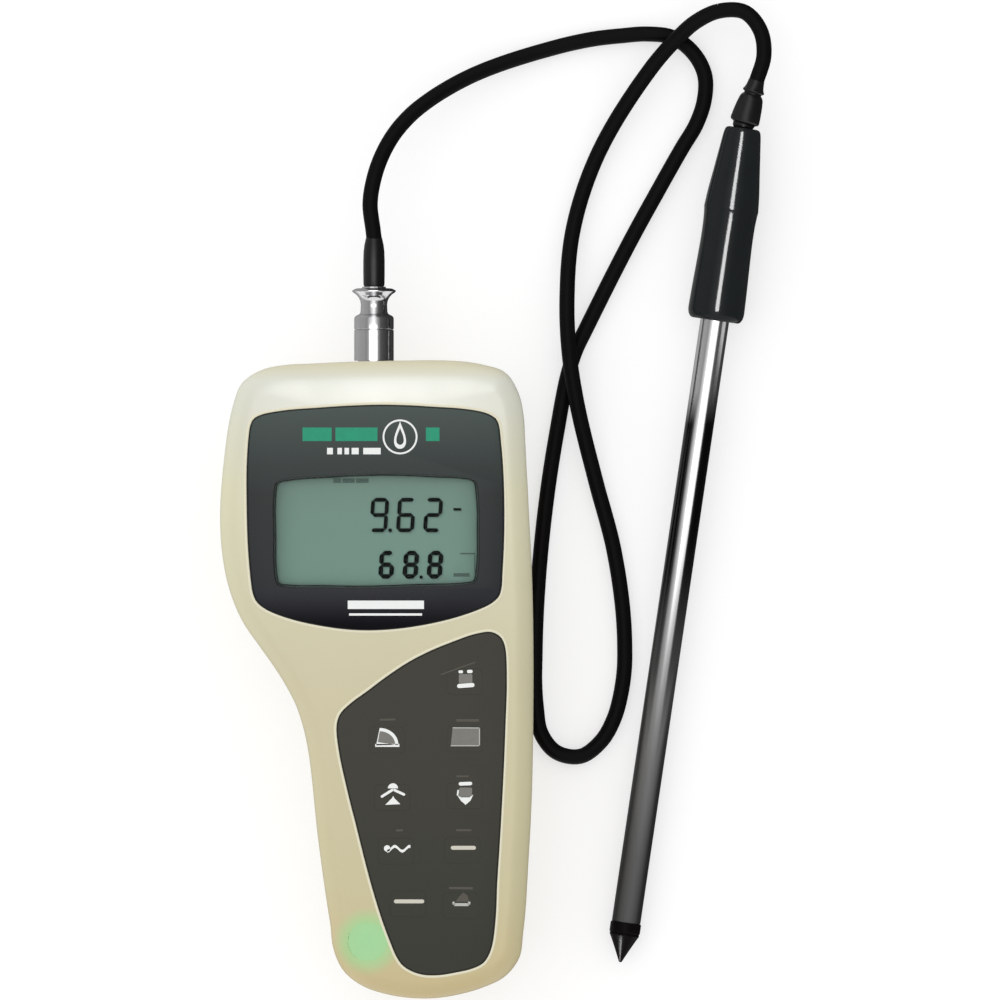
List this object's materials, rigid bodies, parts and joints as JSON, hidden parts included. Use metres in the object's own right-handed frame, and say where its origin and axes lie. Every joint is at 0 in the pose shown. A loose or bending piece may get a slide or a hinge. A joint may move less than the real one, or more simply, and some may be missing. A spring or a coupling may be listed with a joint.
{
  "type": "water quality probe and meter",
  "caption": "Handheld conductivity meter with a round-cornered display, a sail-shaped keypad, and a pointed steel probe on a looped cable.",
  "frame": {"origin": "on the resting plane, under the middle of the case's grip and head, at the centre line of the meter's back", "axes": "the meter lies on its back: +X to the right of the display, +Y from the keypad towards the connector, +Z out of the display"},
  "size_m": [0.1714, 0.3093, 0.0365],
  "materials": {
    "cream_plastic": "fine-textured moulded cream ABS",
    "dark_trim": "dark grey printed panel",
    "clear_plastic": "clear display window",
    "lcd_glass": "grey-green liquid crystal display",
    "circuit_board": "green solder mask",
    "black_component": "moulded black resin",
    "silicone": "grey silicone",
    "keypad": "dark printed membrane",
    "battery_jacket": "plain dark metal jacket",
    "black_rubber": "smooth black rubber with a soft shine",
    "screw_steel": "plain steel",
    "polished_steel": "polished stainless steel and nickel plate",
    "gold_contact": "gold-plated contact",
    "white_insulator": "off-white plastic",
    "green_label": "pale green translucent spot",
    "black_handle": "glossy black moulding",
    "wire_jacket": "thin coloured wire jacket"
  },
  "bodies": {
    "meter": {"front_shell": "cream_plastic", "rear_shell": "cream_plastic", "case_gasket": "silicone", "bezel": "dark_trim", "display_window": "clear_plastic", "lcd_panel": "lcd_glass", "lcd_frame": "white_insulator", "zebra_strip": "silicone", "main_board": "circuit_board", "processor_chip": "black_component", "keypad_panel": "keypad", "keypad_mat": "silicone", "battery": "battery_jacket", "battery_snap": "black_component", "battery_wire": "wire_jacket", "case_screw_top_left": "screw_steel", "case_screw_top_right": "screw_steel", "case_screw_bottom_left": "screw_steel", "case_screw_bottom_right": "screw_steel", "round_label": "green_label", "jack_body": "polished_steel", "jack_nut": "screw_steel", "jack_oring": "black_rubber", "jack_insulator": "white_insulator", "jack_contact": "gold_contact", "jack_wire": "wire_jacket"},
    "power_button": {"key_power": "keypad"},
    "enter_button": {"key_enter": "keypad"},
    "down_button": {"key_down": "keypad"},
    "memory_button": {"key_memory": "keypad"},
    "light_button": {"key_light": "keypad"},
    "mode_button": {"key_mode": "keypad"},
    "up_button": {"key_up": "keypad"},
    "recall_button": {"key_recall": "keypad"},
    "calibrate_button": {"key_calibrate": "keypad"},
    "door": {"battery_door": "cream_plastic", "door_seal": "black_rubber", "door_screw_lower": "screw_steel", "door_screw_upper": "screw_steel"},
    "plug": {"plug_body": "polished_steel", "plug_insulator": "white_insulator", "plug_pin": "gold_contact", "plug_boot": "black_rubber"},
    "ring": {"coupling_ring": "polished_steel"},
    "lead": {"cable": "black_rubber"},
    "probe": {"strain_relief": "black_rubber", "handle": "black_handle", "handle_seal": "black_rubber", "probe_tube": "polished_steel", "probe_wires": "wire_jacket", "thermistor": "black_component", "tip_insulator": "black_component", "tip_electrode": "black_handle"}
  },
  "joints": [
    {"name": "power_press", "type": "slide", "parent": "meter", "child": "power_button", "axis": [0, 0, -1], "range_m": [0, 0.0005], "stiffness_N_per_m": 400},
    {"name": "enter_press", "type": "slide", "parent": "meter", "child": "enter_button", "axis": [0, 0, -1], "range_m": [0, 0.0005], "stiffness_N_per_m": 400},
    {"name": "down_press", "type": "slide", "parent": "meter", "child": "down_button", "axis": [0, 0, -1], "range_m": [0, 0.0005], "stiffness_N_per_m": 400},
    {"name": "memory_press", "type": "slide", "parent": "meter", "child": "memory_button", "axis": [0, 0, -1], "range_m": [0, 0.0005], "stiffness_N_per_m": 400},
    {"name": "light_press", "type": "slide", "parent": "meter", "child": "light_button", "axis": [0, 0, -1], "range_m": [0, 0.0005], "stiffness_N_per_m": 400},
    {"name": "mode_press", "type": "slide", "parent": "meter", "child": "mode_button", "axis": [0, 0, -1], "range_m": [0, 0.0005], "stiffness_N_per_m": 400},
    {"name": "up_press", "type": "slide", "parent": "meter", "child": "up_button", "axis": [0, 0, -1], "range_m": [0, 0.0005], "stiffness_N_per_m": 400},
    {"name": "recall_press", "type": "slide", "parent": "meter", "child": "recall_button", "axis": [0, 0, -1], "range_m": [0, 0.0005], "stiffness_N_per_m": 400},
    {"name": "calibrate_press", "type": "slide", "parent": "meter", "child": "calibrate_button", "axis": [0, 0, -1], "range_m": [0, 0.0005], "stiffness_N_per_m": 400},
    {"name": "door_lift", "type": "slide", "parent": "meter", "child": "door", "axis": [0, 0, -1], "range_m": [0, 0.02]},
    {"name": "plug_slide", "type": "slide", "parent": "meter", "child": "plug", "axis": [0, 1, 0], "range_m": [0, 0.002]},
    {"name": "ring_turn", "type": "hinge", "parent": "plug", "child": "ring", "pos_m": [-0.0017, 0.116, 0.018], "axis": [0, 1, 0], "range_deg": [0, 90]},
    {"name": "lead_swing", "type": "hinge", "parent": "plug", "child": "lead", "pos_m": [-0.002, 0.1404, 0.018], "axis": [0, 0, 1], "range_deg": [0, 15]},
    {"name": "probe_swing", "type": "hinge", "parent": "lead", "child": "probe", "pos_m": [0.1175, 0.187, 0.0105], "axis": [0, 0, 1], "range_deg": [0, 35]}
  ],
  "couplings": [
    {"joint": "ring_turn", "follows": "plug_slide", "rad_per_m": 785.4}
  ]
}
